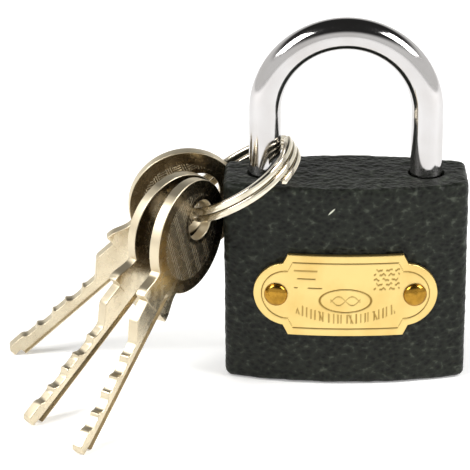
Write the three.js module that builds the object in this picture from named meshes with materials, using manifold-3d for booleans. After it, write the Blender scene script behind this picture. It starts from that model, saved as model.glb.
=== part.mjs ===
// A 38 mm pin-tumbler padlock with a cast-iron body, standing upright, with three keys on a split ring.
// Millimetres, +Z up. X runs from the heel leg to the toe leg of the shackle and Y from front to back.
// The origin is the middle of the body's top face, between the legs. The lock is closed but not latched:
// the plug stands a quarter turn from its locked angle, so the latch is clear of the toe leg.

import * as THREE from "three";
import { mergeVertices } from "three/addons/utils/BufferGeometryUtils.js";
import Module from "manifold-3d";

const wasm = await Module();
wasm.setup();

// ---------------------------------------------------------------- driving dimensions

const clear = 0.3; // between pieces that move past each other
const fit = 0.15; // all round a piece that is pressed or riveted in its hole
const past = 1; // how far a cutter runs past the face that it opens

const body = { width: 38, height: 33, middleDepth: 16, sideDepth: 10.2, corner: 1.6, edge: 0.9 };

const shackle = {
  inset: 6.5, // each leg's axis, in from the body's side
  bar: 5,
  archAbove: 10, // the arch's centre, over the top face
  heelBelowPin: 10.7, // the heel leg's end, under its retaining pin
  holeFloor: 3.5, // the heel leg's hole, over the base
  toeDepth: 7,
  lift: 8,
  grooveDepth: 1.2,
  notchDepth: 1.8,
};

const latch = {
  belowTop: 3,
  height: 2.2,
  width: 4.2,
  nose: 3.2, // the nose's width, where it tapers
  noseTaper: 1,
  tail: 3.4, // from the middle of the body to the latch's left end
  arm: 2.2, // from there to the right side of its arm
  wall: 1.7, // between the heel leg's hole and the spring's pocket
};

const plug = { radius: 4, offsetY: 2.4, belowTop: 7.2, recess: 0.5, openAngle: 90 };

const cam = { radius: 3, thickness: 1, pinRadius: 0.8, eccentric: 1.2, lug: 0.5 };

const pins = {
  count: 4,
  first: 10.4, // the first pin's height over the base
  pitch: 3.2,
  radius: 0.95,
  chamber: 1.25,
  driver: 2,
  dome: 0.4, // the height of each half of the domed end
  shoulder: 0.7, // the radius halfway up the dome, in pin radii
  plugLength: 1.2,
  plugSunk: 0.4, // the chamber plug's outer face, behind the front of the body
};

const spring = { pinWire: 0.26, pinPitch: 0.7, latchWire: 0.3, latchPitch: 0.8, shackleWire: 0.6, shacklePitch: 1.1 };

const retainer = { radius: 0.6, belowTop: 11.3, grooveDepth: 0.7, length: 10.5 };

const heelPin = { radius: 0.9, belowTop: 11.5 };

const plate = {
  thickness: 0.7,
  rectangle: 17.9,
  height: 13.6,
  shoulderX: 9.75, // where each rounded end leaves the rectangle
  shoulderZ: 5.2,
  endX: 14.3,
  middleAboveBase: 15.6,
  rivetX: 10.65,
};

const rivet = { head: 1.85, dome: 0.9, shank: 1, grip: 3 };

const ring = {
  radial: 1.2, // the wire's depth, towards the ring's centre
  axial: 1.15, // the wire's height, along the ring's axis
  coilGap: 0.1,
  pastSide: 5.83, // how far it reaches out past the body's side
  pastLeg: 2.4, // how far it reaches past the heel leg's inner side
  above: 3.92, // its highest point, over the top face
  tilt: 30.5,
  joggle: 60, // each side of where the wire steps from one coil to the next
  joggleAt: -20,
  overlap: 27, // the wire's ends, past the middle of the joggle
};

const key = {
  thickness: 1.7,
  bowLong: 9.1, // half of the oval bow, along the key
  bowWide: 8.9, // half of it, across the key
  bowCentre: 3.1, // from the hole's centre towards the tip
  hole: 3.1,
  hang: 0.75, // from the ring's wire to the hole's centre
  faceAt: 0.85, // from the ring's wire to the face that looks towards the body
  neckHalf: 3.4,
  neckFrom: 12.6,
  stopFrom: 15,
  stop: 16.2, // from the hole's centre to the stops
  stopHalf: 4.3,
  blade: 24.9, // from the stops to the tip
  back: 1.9, // the blade's straight edge, from the key's axis
  front: 2.8, // the blade's cut edge before it is cut, from the key's axis
  grooveWidth: 0.9,
  grooveDepth: 0.5,
  grooveFrom: 12.8,
  land: 0.2, // between the groove and the straight edge
  cutFlat: 2,
  tipStep: 1.3,
  tipFront: 0.9,
  tipRadius: 0.5,
  floors: [0.2, -0.1, 0.4, 0, 0.3], // each cut's floor, from the key's axis towards the cut edge
};

// How each key hangs: its place round the ring, its compass heading, and its lean from upright.
const hanging = [
  { around: -145, heading: -123, lean: -2 },
  { around: -174, heading: -138.5, lean: -3 },
  { around: 141, heading: -174.5, lean: -5 },
];

// ---------------------------------------------------------------- places that follow from them

const degrees = Math.PI / 180;
const baseZ = -body.height;
const sagitta = (body.middleDepth - body.sideDepth) / 2;
const bulge = ((body.width / 2) ** 2 + sagitta ** 2) / (2 * sagitta); // radius of the front and the back
const bulgeY = bulge - body.middleDepth / 2; // the front's centre of curvature, behind the origin
const toeX = body.width / 2 - shackle.inset;
const heelX = -toeX;
const legHole = shackle.bar / 2 + clear;
const heelEnd = -heelPin.belowTop - shackle.heelBelowPin;
const heelFloor = baseZ + shackle.holeFloor;
const grooveX = heelX + shackle.bar / 2 - shackle.grooveDepth;
const notchX = toeX - shackle.bar / 2 + shackle.notchDepth;
const latchTop = -latch.belowTop;
const latchBottom = latchTop - latch.height;
const camPinX = -cam.eccentric * Math.SQRT1_2;
const camPinY = plug.offsetY - camPinX;
const plugBore = plug.radius + clear;
const plugTop = -plug.belowTop;
const camBottom = plugTop + clear;
const camTop = camBottom + cam.thickness;
const slotNear = camPinY - cam.pinRadius - clear;
const armEnd = plug.offsetY + cam.eccentric + cam.pinRadius;
const latchTravel = 2 * cam.eccentric * Math.SQRT1_2;
const springPocket = heelX + legHole + latch.wall; // the left end of the latch's channel
const boreFront = plug.offsetY - plugBore;
const chamberFront = -body.middleDepth / 2 + pins.plugSunk;
const plateZ = baseZ + plate.middleAboveBase;
const keyTip = key.stop + key.blade;
const grooveInner = key.back - key.land - key.grooveWidth; // the near side of the key's groove
const ringReach = ring.pastSide + shackle.inset + shackle.bar / 2 + ring.pastLeg;
const ringOuter = ringReach / 2 / Math.cos(ring.tilt * degrees);
const wireRadius = ringOuter - ring.radial / 2;
const coilPitch = ring.axial + ring.coilGap;
const pinHeights = Array.from({ length: pins.count }, (_, i) => baseZ + pins.first + i * pins.pitch);
const pinCut = (i) => key.floors[key.floors.length - pins.count + i];

// ---------------------------------------------------------------- materials

const finish = (color, roughness, metalness) => new THREE.MeshStandardMaterial({ color, roughness, metalness });

const paintedIron = finish(0x2b2f2d, 0.62, 0.1);
const chrome = finish(0xc9cacb, 0.12, 1);
const brass = finish(0xd9b45a, 0.32, 1);
const oldBrass = finish(0xa9822f, 0.38, 1);
const nickel = finish(0xc7bda6, 0.3, 1);
const steel = finish(0x9b9da0, 0.4, 1);
const springSteel = finish(0x77797c, 0.35, 1);

// ---------------------------------------------------------------- shapes

const group = new THREE.Group();

// A closed geometry as a solid that can be cut and joined.
function solid(geometry) {
  const bare = geometry.index ? geometry.toNonIndexed() : geometry.clone();
  bare.deleteAttribute("normal");
  bare.deleteAttribute("uv");
  const merged = mergeVertices(bare, 1e-4);
  const vertProperties = merged.attributes.position.array;
  const triVerts = new Uint32Array(merged.index.array);
  return new wasm.Manifold(new wasm.Mesh({ numProp: 3, vertProperties, triVerts }));
}

// A solid as a geometry again.
function geometryOf(shape) {
  const { vertProperties, triVerts } = shape.getMesh();
  const geometry = new THREE.BufferGeometry();
  geometry.setAttribute("position", new THREE.BufferAttribute(vertProperties, 3));
  geometry.setIndex(new THREE.BufferAttribute(triVerts, 1));
  geometry.computeVertexNormals();
  return geometry;
}

// Adds a named piece to the part and returns it, so that it can be placed.
function piece(name, shape, material, parent = group) {
  const geometry = shape.isBufferGeometry ? shape : geometryOf(shape);
  const mesh = new THREE.Mesh(geometry, material);
  mesh.name = name;
  parent.add(mesh);
  return mesh;
}

function box(x0, x1, y0, y1, z0, z1) {
  const geometry = new THREE.BoxGeometry(x1 - x0, y1 - y0, z1 - z0);
  return geometry.translate((x0 + x1) / 2, (y0 + y1) / 2, (z0 + z1) / 2);
}

// Round bars along each axis, from one end to the other.
function roundZ(radius, x, y, z0, z1, sides = 32) {
  const geometry = new THREE.CylinderGeometry(radius, radius, z1 - z0, sides).rotateX(Math.PI / 2);
  return geometry.translate(x, y, (z0 + z1) / 2);
}

function roundY(radius, x, z, y0, y1, sides = 20) {
  return new THREE.CylinderGeometry(radius, radius, y1 - y0, sides).translate(x, (y0 + y1) / 2, z);
}

function roundX(radius, y, z, x0, x1, sides = 20) {
  const geometry = new THREE.CylinderGeometry(radius, radius, x1 - x0, sides).rotateZ(Math.PI / 2);
  return geometry.translate((x0 + x1) / 2, y, z);
}

function cut(shape, ...cutters) {
  return cutters.reduce((left, cutter) => left.subtract(solid(cutter)), shape);
}

function extrude(shape, depth, curveSegments = 8) {
  return new THREE.ExtrudeGeometry(shape, { depth, bevelEnabled: false, curveSegments });
}

// A curve given by a formula of its parameter, which runs from 0 to 1.
class FormulaCurve extends THREE.Curve {
  constructor(formula) {
    super();
    this.formula = formula;
  }
  getPoint(t, target = new THREE.Vector3()) {
    return target.set(...this.formula(t));
  }
}

function alongCurve(section, formula, steps, curveSegments) {
  const options = { steps, extrudePath: new FormulaCurve(formula), curveSegments };
  return new THREE.ExtrudeGeometry(section, options);
}

// A round section; it gets twice as many sides as its curve segments.
function disc(radius) {
  return new THREE.Shape().absarc(0, 0, radius, 0, 2 * Math.PI, false);
}

// A coil spring standing on the origin, along +Z.
function coil(outer, wire, pitch, length) {
  const radius = outer - wire / 2;
  const rise = length - wire;
  const turns = Math.max(1, Math.round(rise / pitch));
  const formula = (t) => {
    const angle = 2 * Math.PI * turns * t;
    return [radius * Math.cos(angle), radius * Math.sin(angle), wire / 2 + rise * t];
  };
  return alongCurve(disc(wire / 2), formula, turns * 10, 3);
}

// The body seen from above: bulged front and back, straight sides, round corners.
function planOutline() {
  const half = body.width / 2;
  const cornerX = half - body.corner;
  const cornerY = Math.sqrt((bulge - body.corner) ** 2 - cornerX ** 2) - bulgeY;
  const turn = Math.atan2(cornerY + bulgeY, cornerX);
  return new THREE.Shape()
    .absarc(cornerX, cornerY, body.corner, 0, turn, false)
    .absarc(0, -bulgeY, bulge, turn, Math.PI - turn, false)
    .absarc(-cornerX, cornerY, body.corner, Math.PI - turn, Math.PI, false)
    .absarc(-cornerX, -cornerY, body.corner, Math.PI, Math.PI + turn, false)
    .absarc(0, bulgeY, bulge, Math.PI + turn, 2 * Math.PI - turn, false)
    .absarc(cornerX, -cornerY, body.corner, 2 * Math.PI - turn, 2 * Math.PI, false);
}

// Where a piece stands square on the bulged front: its -Y axis points straight out of the surface.
function onFront(x, z) {
  const angle = Math.asin(x / bulge);
  const place = new THREE.Matrix4().makeTranslation(0, bulgeY, z);
  place.multiply(new THREE.Matrix4().makeRotationZ(angle));
  return place.multiply(new THREE.Matrix4().makeTranslation(0, -bulge, 0));
}

// ---------------------------------------------------------------- the body and what it holds

function makeBody() {
  const rounded = { bevelThickness: body.edge, bevelSize: body.edge, bevelOffset: -body.edge, bevelSegments: 3 };
  const depth = body.height - 2 * body.edge;
  const block = new THREE.ExtrudeGeometry(planOutline(), { depth, curveSegments: 7, ...rounded });
  block.translate(0, 0, baseZ + body.edge);
  const channel = latch.width / 2 + clear;
  const channelFloor = latchBottom - clear;
  const channelTop = latchTop + clear;
  const armRight = latch.arm + latchTravel + clear;
  const holes = [
    roundZ(legHole, heelX, 0, heelFloor, past),
    roundZ(legHole, toeX, 0, -shackle.toeDepth - clear, past),
    roundZ(plugBore, 0, plug.offsetY, baseZ - past, channelFloor),
    box(springPocket, toeX, -channel, channel, channelFloor, channelTop),
    box(-latch.tail - clear, armRight, 0, armEnd + 2 * clear, channelFloor, channelTop),
    roundX(heelPin.radius + fit, 0, -heelPin.belowTop, heelX, 0),
    roundY(retainer.radius + fit, retainerX(), -retainer.belowTop, -body.middleDepth, retainerBack() + fit),
    ...pinHeights.map((z) => roundY(pins.chamber, 0, z, -body.middleDepth, plug.offsetY)),
    ...[-1, 1].map((side) => rivetHole(side)),
  ];
  piece("body", cut(solid(block), ...holes), paintedIron);
}

function rivetHole(side) {
  const hole = roundY(rivet.shank + fit, 0, 0, -past, rivet.grip + fit);
  return hole.applyMatrix4(onFront(side * plate.rivetX, plateZ));
}

function makeShackle() {
  const radius = toeX;
  const heelLength = shackle.archAbove - heelEnd;
  const toeLength = shackle.archAbove + shackle.toeDepth;
  const arch = Math.PI * radius;
  const whole = heelLength + arch + toeLength;
  const formula = (t) => {
    const s = t * whole;
    if (s < heelLength) return [heelX, 0, heelEnd + s];
    if (s > heelLength + arch) return [toeX, 0, shackle.archAbove - (s - heelLength - arch)];
    const angle = Math.PI - (s - heelLength) / radius;
    return [radius * Math.cos(angle), 0, shackle.archAbove + radius * Math.sin(angle)];
  };
  const bar = alongCurve(disc(shackle.bar / 2), formula, 48, 9);
  const grooveHalf = heelPin.radius + clear;
  const grooveTop = -heelPin.belowTop + grooveHalf;
  const grooveFoot = -heelPin.belowTop - grooveHalf - shackle.lift;
  const groove = box(grooveX, heelX + shackle.bar, -grooveHalf, grooveHalf, grooveFoot, grooveTop);
  const notch = box(toeX - shackle.bar, notchX, -shackle.bar, shackle.bar, latchBottom - clear, latchTop + clear);
  piece("shackle", cut(solid(bar), groove, notch), chrome);
}

function makeShackleSpring() {
  const outer = shackle.bar / 2;
  const length = heelEnd - heelFloor - 2 * clear;
  const shape = coil(outer, spring.shackleWire, spring.shacklePitch, length);
  piece("shackle_spring", shape, springSteel).position.set(heelX, 0, heelFloor + clear);
}

function makeHeelPin() {
  const inner = -Math.sqrt(plugBore ** 2 - plug.offsetY ** 2) - clear;
  piece("heel_pin", roundX(heelPin.radius, 0, -heelPin.belowTop, grooveX + clear, inner), steel);
}

// The latch seen from above: a nose for the toe leg's notch, and an arm that straddles the cam's pin.
function makeLatch() {
  const tip = toeX - legHole;
  const side = latch.width / 2;
  const nose = latch.nose / 2;
  const slot = cam.pinRadius + clear;
  const outline = new THREE.Shape()
    .moveTo(tip, -nose)
    .lineTo(tip, nose)
    .lineTo(tip - latch.noseTaper, side)
    .lineTo(latch.arm, side)
    .lineTo(latch.arm, armEnd)
    .lineTo(camPinX + slot, armEnd)
    .lineTo(camPinX + slot, slotNear)
    .lineTo(camPinX - slot, slotNear)
    .lineTo(camPinX - slot, armEnd)
    .lineTo(-latch.tail, armEnd)
    .lineTo(-latch.tail, -side)
    .lineTo(tip - latch.noseTaper, -side);
  piece("latch", extrude(outline, latch.height), steel).position.z = latchBottom;
  const length = -latch.tail - springPocket - 2 * clear;
  const shape = coil(latch.height / 2, spring.latchWire, spring.latchPitch, length).rotateY(Math.PI / 2);
  const place = [springPocket + clear, 0, latchBottom + latch.height / 2];
  piece("latch_spring", shape, springSteel).position.set(...place);
}

function retainerX() {
  return plug.radius - retainer.grooveDepth + fit + retainer.radius;
}

function retainerBack() {
  return retainer.length - body.middleDepth / 2 + pins.plugSunk;
}

function makeRetainer() {
  const front = retainerBack() - retainer.length;
  piece("plug_retainer", roundY(retainer.radius, retainerX(), -retainer.belowTop, front, retainerBack()), steel);
}

// The plug and what turns with it, drawn at the locked angle and turned to the open one.
function makePlug() {
  const turned = new THREE.Group();
  turned.position.set(0, plug.offsetY, 0);
  turned.rotation.z = plug.openAngle * degrees;
  group.add(turned);

  const foot = baseZ + plug.recess;
  const width = key.thickness / 2 + clear;
  const wardFrom = grooveInner + fit;
  const wardTo = key.back - key.land - fit;
  const slot = box(-width, width, -key.front - clear, key.back + clear, foot - past, plugTop + past);
  const ward = box(width - key.grooveDepth, width + past, wardFrom, wardTo, foot - 2 * past, plugTop + 2 * past);
  const keyway = cut(solid(slot), ward);
  const neck = plug.radius - retainer.grooveDepth;
  const neckFrom = -retainer.belowTop - retainer.radius - fit;
  const neckTo = -retainer.belowTop + retainer.radius + fit;
  const outside = solid(roundZ(plug.radius + past, 0, 0, neckFrom, neckTo));
  const groove = cut(outside, roundZ(neck, 0, 0, neckFrom - past, neckTo + past));
  const whole = solid(roundZ(plug.radius, 0, 0, foot, plugTop, 40)).subtract(keyway).subtract(groove);
  const pinHoles = pinHeights.map((z) => roundY(pins.radius + fit, 0, z, -plug.radius - past, 0));
  piece("plug", cut(whole, ...pinHoles), brass, turned);

  const disk = solid(roundZ(cam.radius, 0, 0, camBottom, camTop));
  const lug = box(fit - width, width - fit, -key.front / 2, wardFrom - fit, plugTop - cam.lug, camTop);
  const fingerAt = cam.eccentric * Math.SQRT1_2;
  const finger = roundZ(cam.pinRadius, fingerAt, fingerAt, camBottom, latchTop - clear, 16);
  piece("cam", disk.add(solid(lug)).add(solid(finger)), steel, turned);

  for (const [i, z] of pinHeights.entries()) {
    const length = plug.radius - fit - pinCut(i);
    piece(`key_pin_${i + 1}`, domedPin(length), brass, turned).position.set(0, fit - plug.radius, z);
  }
}

// A pin along +Y from its flat outer end to its domed inner end.
function domedPin(length) {
  const profile = [
    new THREE.Vector2(0, 0),
    new THREE.Vector2(pins.radius, 0),
    new THREE.Vector2(pins.radius, length - 2 * pins.dome),
    new THREE.Vector2(pins.radius * pins.shoulder, length - pins.dome),
    new THREE.Vector2(0, length),
  ];
  return new THREE.LatheGeometry(profile, 16);
}

function makePinStacks() {
  for (const [i, z] of pinHeights.entries()) {
    const driverFront = boreFront - fit / 2 - pins.driver;
    const plugBack = chamberFront + pins.plugLength;
    const length = driverFront - plugBack - 2 * fit;
    piece(`driver_pin_${i + 1}`, roundY(pins.radius, 0, z, driverFront, driverFront + pins.driver, 16), steel);
    const shape = coil(pins.radius, spring.pinWire, spring.pinPitch, length).rotateX(-Math.PI / 2);
    piece(`pin_spring_${i + 1}`, shape, springSteel).position.set(0, plugBack + fit, z);
    piece(`chamber_plug_${i + 1}`, roundY(pins.chamber - fit, 0, z, chamberFront, plugBack, 16), brass);
  }
}

// ---------------------------------------------------------------- the nameplate

// The plate seen from the front: a rectangle with a rounded ear at each end.
function plateOutline() {
  const half = plate.rectangle / 2;
  const top = plate.height / 2;
  const reach = plate.endX - plate.shoulderX;
  const radius = (reach ** 2 + plate.shoulderZ ** 2) / (2 * reach);
  const centre = plate.endX - radius;
  const turn = Math.atan2(plate.shoulderZ, plate.shoulderX - centre);
  return new THREE.Shape()
    .moveTo(half, -top)
    .absarc(centre, 0, radius, -turn, turn, false)
    .lineTo(half, top)
    .lineTo(-half, top)
    .absarc(-centre, 0, radius, Math.PI - turn, Math.PI + turn, false)
    .lineTo(-half, -top);
}

function makePlate() {
  const inner = bulge + fit;
  const outer = inner + plate.thickness;
  const reach = Math.asin((plate.endX + past) / inner);
  const middle = 1.5 * Math.PI;
  const band = new THREE.Shape()
    .absarc(0, bulgeY, outer, middle - reach, middle + reach, false)
    .absarc(0, bulgeY, inner, middle + reach, middle - reach, true);
  const sheet = extrude(band, plate.height + 2 * past, 12).translate(0, 0, plateZ - plate.height / 2 - past);
  const blank = extrude(plateOutline(), body.middleDepth, 8).rotateX(Math.PI / 2).translate(0, 0, plateZ);
  let shape = solid(sheet).intersect(solid(blank));
  for (const side of [-1, 1]) shape = cut(shape, rivetHole(side).applyMatrix4(hop(side)));
  piece("nameplate", shape, brass);
}

// Moves a rivet's hole out from the body to run through the plate.
function hop(side) {
  const angle = Math.asin((side * plate.rivetX) / bulge);
  const out = plate.thickness + past;
  return new THREE.Matrix4().makeTranslation(out * Math.sin(angle), -out * Math.cos(angle), 0);
}

// A rivet along -Y, with the plate's outer face at its seat.
function makeRivets() {
  const profile = [new THREE.Vector2(0, -rivet.grip), new THREE.Vector2(rivet.shank, -rivet.grip)];
  const seat = 2 * fit + plate.thickness;
  profile.push(new THREE.Vector2(rivet.shank, seat), new THREE.Vector2(rivet.head, seat));
  const steps = 5;
  for (let i = 1; i <= steps; i += 1) {
    const angle = (i / steps) * (Math.PI / 2);
    const radius = i === steps ? 0 : rivet.head * Math.cos(angle);
    profile.push(new THREE.Vector2(radius, seat + rivet.dome * Math.sin(angle)));
  }
  for (const [name, side] of [["rivet_left", -1], ["rivet_right", 1]]) {
    const shape = new THREE.LatheGeometry(profile, 24).rotateX(Math.PI);
    shape.applyMatrix4(onFront(side * plate.rivetX, plateZ));
    piece(name, shape, oldBrass);
  }
}

// ---------------------------------------------------------------- the split ring and the keys

// The ring's own axes: across, from front to back, and through it.
const ringTurn = new THREE.Matrix4().makeRotationY(-ring.tilt * degrees);
const ringCentre = new THREE.Vector3(-ringOuter, 0, 0).applyMatrix4(ringTurn);
ringCentre.add(new THREE.Vector3(heelX + shackle.bar / 2 + ring.pastLeg, 0, ring.above));

// How far along the ring's axis the wire is, at an angle from the middle of its joggle.
function coilHeight(angle) {
  const turns = Math.round(angle / 360);
  const from = THREE.MathUtils.smoothstep(angle - turns * 360, -ring.joggle, ring.joggle);
  return coilPitch * (turns + from - 1.5);
}

function makeRing() {
  const section = new THREE.Shape()
    .moveTo(-ring.axial / 2, -ring.radial / 2)
    .lineTo(ring.axial / 2, -ring.radial / 2)
    .lineTo(ring.axial / 2, ring.radial / 2)
    .lineTo(-ring.axial / 2, ring.radial / 2);
  const sweep = 720 + 2 * ring.overlap;
  const formula = (t) => {
    const angle = t * sweep - ring.overlap;
    const turn = (angle + ring.joggleAt) * degrees;
    return [wireRadius * Math.cos(turn), wireRadius * Math.sin(turn), coilHeight(angle)];
  };
  const mesh = piece("split_ring", alongCurve(section, formula, 96, 1), nickel);
  mesh.position.copy(ringCentre);
  mesh.rotation.setFromRotationMatrix(ringTurn);
}

// The key in its own axes: +X from the hole's centre to the tip, +Y to the straight edge, +Z out of its face.
function keyOutline() {
  const shape = new THREE.Shape();
  const meet = (half) => key.bowCentre + key.bowLong * Math.sqrt(1 - (half / key.bowWide) ** 2);
  const start = Math.acos((meet(key.neckHalf) - key.bowCentre) / key.bowLong);
  const around = 2 * Math.PI;
  shape.moveTo(key.neckFrom, key.neckHalf);
  shape.absellipse(key.bowCentre, 0, key.bowLong, key.bowWide, start, around - start, false, 0);
  shape.lineTo(key.neckFrom, -key.neckHalf);
  shape.lineTo(key.stopFrom, -key.stopHalf);
  shape.lineTo(key.stop, -key.stopHalf);
  shape.lineTo(key.stop, -key.front);
  for (const [x, y] of cutEdge()) shape.lineTo(x, y);
  shape.lineTo(keyTip - key.tipRadius, -key.tipFront);
  shape.lineTo(keyTip, -key.tipFront + key.tipRadius);
  shape.lineTo(keyTip, grooveInner);
  shape.lineTo(keyTip - key.tipStep, grooveInner);
  shape.lineTo(keyTip - key.tipStep, key.back);
  shape.lineTo(key.stop, key.back);
  shape.lineTo(key.stop, key.stopHalf);
  shape.lineTo(key.stopFrom, key.stopHalf);
  const hole = new THREE.Path().absarc(0, 0, key.hole, 0, around, true);
  shape.holes.push(hole);
  return shape;
}

// The cuts' flat floors with 45-degree ramps between them, from the stops to the tip.
function cutEdge() {
  const place = (i) => key.stop + pins.first + (i - key.floors.length + pins.count) * pins.pitch;
  const points = [];
  key.floors.forEach((depth, i) => {
    const floor = -depth;
    const from = place(i) - key.cutFlat / 2;
    if (i === 0) points.push([from - key.front + depth, -key.front]);
    points.push([from, floor], [from + key.cutFlat, floor]);
    const next = i + 1 < key.floors.length ? -key.floors[i + 1] : floor;
    const crest = (from + key.cutFlat + place(i + 1) - key.cutFlat / 2 + floor - next) / 2;
    points.push([crest, floor - (crest - from - key.cutFlat)]);
  });
  return points;
}

// A key hangs on the ring by its hole and leans down until the lower corner of its tip is on the table.
function keyPlace({ around, heading, lean }) {
  const wire = new THREE.Vector3(Math.cos(around * degrees), Math.sin(around * degrees), 0);
  wire.multiplyScalar(wireRadius).applyMatrix4(ringTurn).add(ringCentre);
  const reach = keyTip - key.tipStep + key.hang;
  const drop = wire.z - baseZ - (key.thickness / 2) * Math.abs(Math.sin(lean * degrees));
  const slope = Math.asin(drop / Math.hypot(reach, key.back)) - Math.atan2(key.back, reach);
  const level = new THREE.Vector3(Math.cos(heading * degrees), Math.sin(heading * degrees), 0);
  const along = level.clone().multiplyScalar(Math.cos(slope)).setZ(-Math.sin(slope));
  const across = new THREE.Vector3().crossVectors(level, along).normalize();
  const face = across.clone().applyAxisAngle(along, lean * degrees);
  const edge = new THREE.Vector3().crossVectors(face, along);
  const place = new THREE.Matrix4().makeBasis(along, edge, face);
  const centre = wire.addScaledVector(along, key.hang);
  centre.addScaledVector(face, key.faceAt - key.thickness / 2);
  return place.setPosition(centre);
}

function makeKeys() {
  const blank = extrude(keyOutline(), key.thickness, 14).translate(0, 0, -key.thickness / 2);
  const floor = key.thickness / 2 - key.grooveDepth;
  const groove = box(key.grooveFrom, keyTip + past, grooveInner, key.back - key.land, floor, key.thickness);
  const shape = geometryOf(cut(solid(blank), groove));
  hanging.forEach((pose, i) => {
    const mesh = piece(`key_${i + 1}`, shape.clone(), nickel);
    mesh.applyMatrix4(keyPlace(pose));
  });
}

makeBody();
makeShackle();
makeShackleSpring();
makeHeelPin();
makeLatch();
makeRetainer();
makePlug();
makePinStacks();
makePlate();
makeRivets();
makeRing();
makeKeys();

export default group;
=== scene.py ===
"""A 38 mm padlock: wrinkle-painted cast iron, a chromed shackle, a brass nameplate and three keys on a ring.

Sizes are in millimetres in the classes and become metres when a mesh is made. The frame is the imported
model's own: +Z up, X from the heel leg to the toe leg, the origin in the middle of the body's top face.
"""

import logging
import math
from collections.abc import Callable
from dataclasses import dataclass, field
from enum import Enum
from functools import partial

import bmesh
import bpy
import numpy as np
from mathutils import Matrix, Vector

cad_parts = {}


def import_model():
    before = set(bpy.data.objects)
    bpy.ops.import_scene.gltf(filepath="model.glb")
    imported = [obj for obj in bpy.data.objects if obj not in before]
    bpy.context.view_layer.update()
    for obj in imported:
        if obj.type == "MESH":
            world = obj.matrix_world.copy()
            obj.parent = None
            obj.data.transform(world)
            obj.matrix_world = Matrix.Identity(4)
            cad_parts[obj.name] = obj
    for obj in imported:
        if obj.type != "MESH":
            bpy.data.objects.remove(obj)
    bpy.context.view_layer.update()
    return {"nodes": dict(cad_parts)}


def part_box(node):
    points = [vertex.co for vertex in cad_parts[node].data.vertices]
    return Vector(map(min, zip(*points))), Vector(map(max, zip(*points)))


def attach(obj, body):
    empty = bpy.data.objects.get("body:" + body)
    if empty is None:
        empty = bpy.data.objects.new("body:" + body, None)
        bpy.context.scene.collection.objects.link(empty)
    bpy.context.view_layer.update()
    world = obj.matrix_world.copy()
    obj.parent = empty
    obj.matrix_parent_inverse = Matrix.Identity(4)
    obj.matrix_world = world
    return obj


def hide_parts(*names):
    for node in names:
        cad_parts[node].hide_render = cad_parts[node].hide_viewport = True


LOG = logging.getLogger("padlock")
MM = 0.001
Triple = tuple[float, float, float]

COORDS = "ShaderNodeTexCoord"
ATTRIBUTE = "ShaderNodeAttribute"
SEPARATE = "ShaderNodeSeparateXYZ"
MATH = "ShaderNodeMath"
VECTOR_MATH = "ShaderNodeVectorMath"
MIX = "ShaderNodeMix"
NOISE = "ShaderNodeTexNoise"
VORONOI = "ShaderNodeTexVoronoi"
RAMP = "ShaderNodeMapRange"
MAPPING = "ShaderNodeMapping"
BUMP = "ShaderNodeBump"


class Side(Enum):
    """A side of the lock, as the sign of its X."""

    LEFT = -1
    RIGHT = 1


# ---------------------------------------------------------------- colours and nodes


def linear(code: str) -> tuple[float, float, float, float]:
    """Turns an sRGB hex colour into the linear one that shaders read.

    Args:
        code: six hex digits.

    Returns:
        Red, green, blue and alpha, where c is c/12.92 below 0.04045 and ((c + 0.055)/1.055)^2.4 above it.
    """
    channels = np.array([int(code[i : i + 2], 16) / 255 for i in (0, 2, 4)])
    low = channels / 12.92
    high = ((channels + 0.055) / 1.055) ** 2.4
    red, green, blue = np.where(channels <= 0.04045, low, high)
    return float(red), float(green), float(blue), 1.0


def feed(tree: bpy.types.NodeTree, node: bpy.types.Node, inputs: dict) -> None:
    """Sets each input to its value, or links it to the output given for it.

    Args:
        tree: the node tree.
        node: the node to feed.
        inputs: a value or an output for each input.
    """
    for key, value in inputs.items():
        if isinstance(value, bpy.types.NodeSocket):
            tree.links.new(value, node.inputs[key])
        else:
            node.inputs[key].default_value = value


def add_node(
    tree: bpy.types.NodeTree, kind: str, inputs: dict | None = None, output: int | str = 0, **settings: object
) -> bpy.types.NodeSocket:
    """Adds a node with its settings, and sets or links its inputs.

    Args:
        tree: the node tree.
        kind: the node's type name.
        inputs: each input's value, or the output that feeds it.
        output: which output is wanted.
        settings: the node's own options.

    Returns:
        The output.
    """
    node = tree.nodes.new(kind)
    for key, value in settings.items():
        setattr(node, key, value)
    feed(tree, node, inputs or {})
    return node.outputs[output]


def new_material(name: str) -> tuple[bpy.types.Material, Callable]:
    """Starts a material.

    Args:
        name: the material's name.

    Returns:
        The material, and add_node for its tree.
    """
    material = bpy.data.materials.new(name)
    material.use_nodes = True
    return material, partial(add_node, material.node_tree)


def shaded(material: bpy.types.Material, **inputs: object) -> bpy.types.Material:
    """Feeds the material's Principled shader.

    Args:
        material: the material.
        inputs: a value or an output for each input, with _ for a space.

    Returns:
        The material.
    """
    tree = material.node_tree
    named = {key.replace("_", " "): value for key, value in inputs.items()}
    feed(tree, tree.nodes["Principled BSDF"], named)
    return material


# ---------------------------------------------------------------- finishes


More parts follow.
